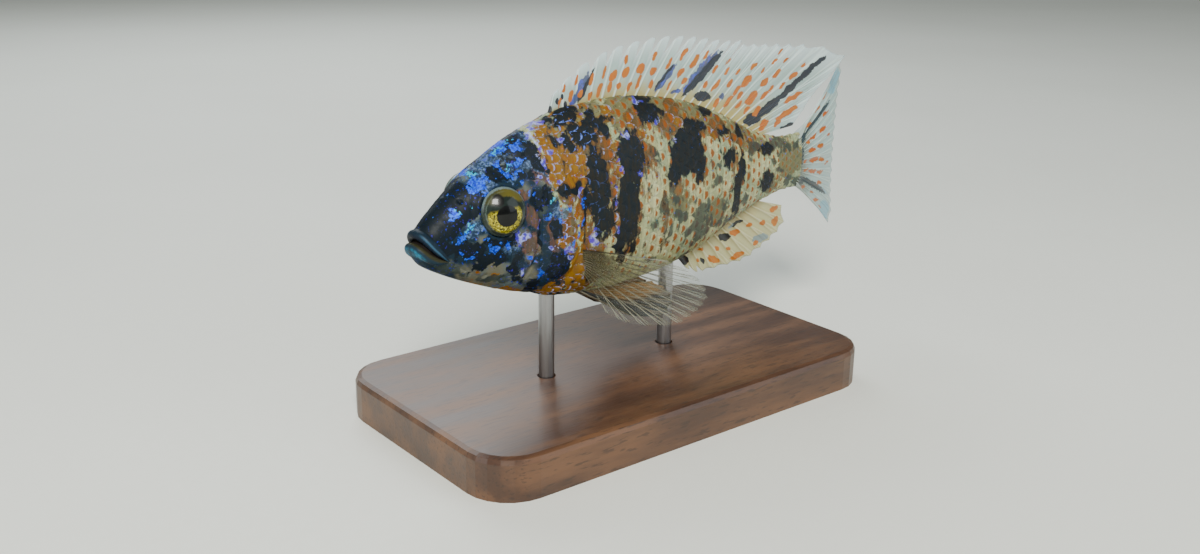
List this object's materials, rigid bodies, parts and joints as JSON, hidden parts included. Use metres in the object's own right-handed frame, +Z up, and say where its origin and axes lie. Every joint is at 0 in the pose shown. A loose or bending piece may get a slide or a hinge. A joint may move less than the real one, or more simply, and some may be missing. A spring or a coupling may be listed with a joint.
{
  "type": "peacock cichlid display model",
  "caption": "Still, life-size model of an orange-blotch peacock cichlid, its body gently bent and fins spread, held over a flat base by short rods.",
  "frame": {"origin": "middle of the stand's underside, on the surface that the model stands on", "axes": "+Z up, the snout points to -X, the left flank faces -Y"},
  "size_m": [0.1195, 0.054, 0.07],
  "materials": {
    "skin": "wet scaled skin, cream and ochre with black blotches and a blue sheen on the head",
    "eye": "clear glossy eye with a black pupil and a gold ring",
    "fin": "thin pale fin membrane with orange spots",
    "clear_fin": "clear grey-brown fin membrane with fine rays",
    "dark_fin": "black to brown fin membrane with pale rays",
    "stand_wood": "satin dark hardwood",
    "stand_steel": "satin round bar"
  },
  "bodies": {
    "root": {"head": "skin", "torso": "skin", "tail": "skin", "eye_left": "eye", "eye_right": "eye", "dorsal_fin": "fin", "anal_fin": "fin", "caudal_fin": "fin", "pectoral_fin_left": "clear_fin", "pectoral_fin_right": "clear_fin", "pelvic_fin_left": "dark_fin", "pelvic_fin_right": "dark_fin", "stand_base": "stand_wood", "stand_rod_front": "stand_steel", "stand_rod_rear": "stand_steel"}
  },
  "joints": []
}
